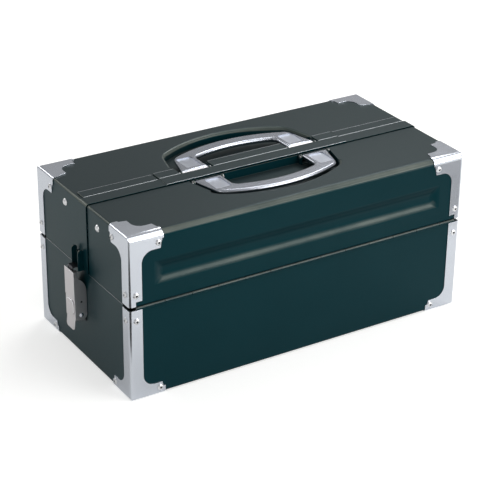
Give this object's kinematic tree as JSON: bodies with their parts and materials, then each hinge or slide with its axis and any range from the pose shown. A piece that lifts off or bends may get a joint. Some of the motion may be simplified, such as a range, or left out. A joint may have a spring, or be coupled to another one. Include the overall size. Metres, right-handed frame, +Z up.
{
  "type": "tool case",
  "caption": "Sheet-steel tool case that opens both ways from the middle, with plated corners, folding carry handles, sprung end latches and trays that swing out level with the lids",
  "frame": {"origin": "middle of the resting face, on the ground, below the middle of the case", "axes": "X along the length with a latch at each end, -Y the front, Z up"},
  "size_m": [0.4636, 0.219, 0.1961],
  "materials": {
    "green_paint": "semi-gloss dark green",
    "bright_nickel": "bright nickel plate",
    "satin_nickel": "satin nickel plate",
    "zinc_steel": "zinc plate",
    "dark_steel": "oiled spring steel",
    "tray_paint": "semi-gloss dark green"
  },
  "bodies": {
    "base": {"base_shell": "green_paint", "base_corner_front_left": "bright_nickel", "base_corner_front_right": "bright_nickel", "base_corner_rear_left": "bright_nickel", "base_corner_rear_right": "bright_nickel", "base_corner_rivets": "bright_nickel", "front_hinge_base_leaf": "green_paint", "front_hinge_pin": "zinc_steel", "rear_hinge_base_leaf": "green_paint", "rear_hinge_pin": "zinc_steel", "left_latch_bracket": "dark_steel", "left_latch_pin": "bright_nickel", "right_latch_bracket": "dark_steel", "right_latch_pin": "bright_nickel", "latch_bracket_rivets": "bright_nickel", "tray_arm_studs": "zinc_steel"},
    "front_lid": {"front_lid_shell": "green_paint", "front_lid_corner_left": "bright_nickel", "front_lid_corner_right": "bright_nickel", "front_lid_corner_rivets": "bright_nickel", "front_hinge_lid_leaf": "green_paint", "front_handle_brackets": "green_paint", "front_handle_pins": "zinc_steel", "front_tray_rivets": "bright_nickel"},
    "rear_lid": {"rear_lid_shell": "green_paint", "rear_lid_corner_left": "bright_nickel", "rear_lid_corner_right": "bright_nickel", "rear_lid_corner_rivets": "bright_nickel", "rear_hinge_lid_leaf": "green_paint", "rear_handle_brackets": "green_paint", "rear_handle_pins": "zinc_steel", "rear_tray_rivets": "bright_nickel", "rear_seam_strip_left": "green_paint", "rear_seam_strip_right": "green_paint", "rear_seam_blocks": "green_paint", "left_latch_keeper": "green_paint", "right_latch_keeper": "green_paint"},
    "front_handle": {"front_handle": "satin_nickel"},
    "rear_handle": {"rear_handle": "satin_nickel"},
    "left_latch": {"left_latch_lever": "zinc_steel", "left_latch_hook": "dark_steel", "left_latch_hook_pin": "dark_steel", "left_latch_spring": "dark_steel"},
    "right_latch": {"right_latch_lever": "zinc_steel", "right_latch_hook": "dark_steel", "right_latch_hook_pin": "dark_steel", "right_latch_spring": "dark_steel"},
    "front_tray": {"front_tray": "tray_paint", "front_tray_arm_pins": "bright_nickel"},
    "rear_tray": {"rear_tray": "tray_paint", "rear_tray_arm_pins": "bright_nickel"},
    "front_left_arm": {"front_left_tray_arm": "zinc_steel"},
    "front_right_arm": {"front_right_tray_arm": "zinc_steel"},
    "rear_left_arm": {"rear_left_tray_arm": "zinc_steel"},
    "rear_right_arm": {"rear_right_tray_arm": "zinc_steel"}
  },
  "joints": [
    {"name": "front_lid_hinge", "type": "hinge", "parent": "base", "child": "front_lid", "pos_m": [0, -0.1076, 0.1115], "axis": [1, 0, 0], "range_deg": [0, 90]},
    {"name": "rear_lid_hinge", "type": "hinge", "parent": "base", "child": "rear_lid", "pos_m": [0, 0.1076, 0.1115], "axis": [-1, 0, 0], "range_deg": [0, 90]},
    {"name": "front_handle_hinge", "type": "hinge", "parent": "front_lid", "child": "front_handle", "pos_m": [0, -0.0197, 0.1926], "axis": [-1, 0, 0], "range_deg": [0, 95]},
    {"name": "rear_handle_hinge", "type": "hinge", "parent": "rear_lid", "child": "rear_handle", "pos_m": [0, 0.0078, 0.1926], "axis": [1, 0, 0], "range_deg": [0, 95]},
    {"name": "left_latch_pivot", "type": "hinge", "parent": "base", "child": "left_latch", "pos_m": [-0.2231, 0.003, 0.061], "axis": [0, -1, 0], "range_deg": [0, 20], "stiffness_Nm_per_rad": 0.3, "springref_deg": -20.05},
    {"name": "right_latch_pivot", "type": "hinge", "parent": "base", "child": "right_latch", "pos_m": [0.2231, 0.003, 0.061], "axis": [0, 1, 0], "range_deg": [0, 20], "stiffness_Nm_per_rad": 0.3, "springref_deg": -20.05},
    {"name": "front_tray_pivot", "type": "hinge", "parent": "front_lid", "child": "front_tray", "pos_m": [0, -0.038, 0.177], "axis": [1, 0, 0], "range_deg": [-90, 0]},
    {"name": "rear_tray_pivot", "type": "hinge", "parent": "rear_lid", "child": "rear_tray", "pos_m": [0, 0.038, 0.177], "axis": [-1, 0, 0], "range_deg": [-90, 0]},
    {"name": "front_left_arm_pivot", "type": "hinge", "parent": "base", "child": "front_left_arm", "pos_m": [-0.212, -0.0786, 0.0975], "axis": [1, 0, 0], "range_deg": [0, 90]},
    {"name": "front_right_arm_pivot", "type": "hinge", "parent": "base", "child": "front_right_arm", "pos_m": [0.212, -0.0786, 0.0975], "axis": [1, 0, 0], "range_deg": [0, 90]},
    {"name": "rear_left_arm_pivot", "type": "hinge", "parent": "base", "child": "rear_left_arm", "pos_m": [-0.212, 0.0786, 0.0975], "axis": [-1, 0, 0], "range_deg": [0, 90]},
    {"name": "rear_right_arm_pivot", "type": "hinge", "parent": "base", "child": "rear_right_arm", "pos_m": [0.212, 0.0786, 0.0975], "axis": [-1, 0, 0], "range_deg": [0, 90]}
  ],
  "couplings": [
    {"joint": "front_tray_pivot", "follows": "front_lid_hinge", "ratio": -1},
    {"joint": "rear_tray_pivot", "follows": "rear_lid_hinge", "ratio": -1},
    {"joint": "front_left_arm_pivot", "follows": "front_lid_hinge", "ratio": 1},
    {"joint": "front_right_arm_pivot", "follows": "front_lid_hinge", "ratio": 1},
    {"joint": "rear_left_arm_pivot", "follows": "rear_lid_hinge", "ratio": 1},
    {"joint": "rear_right_arm_pivot", "follows": "rear_lid_hinge", "ratio": 1}
  ]
}
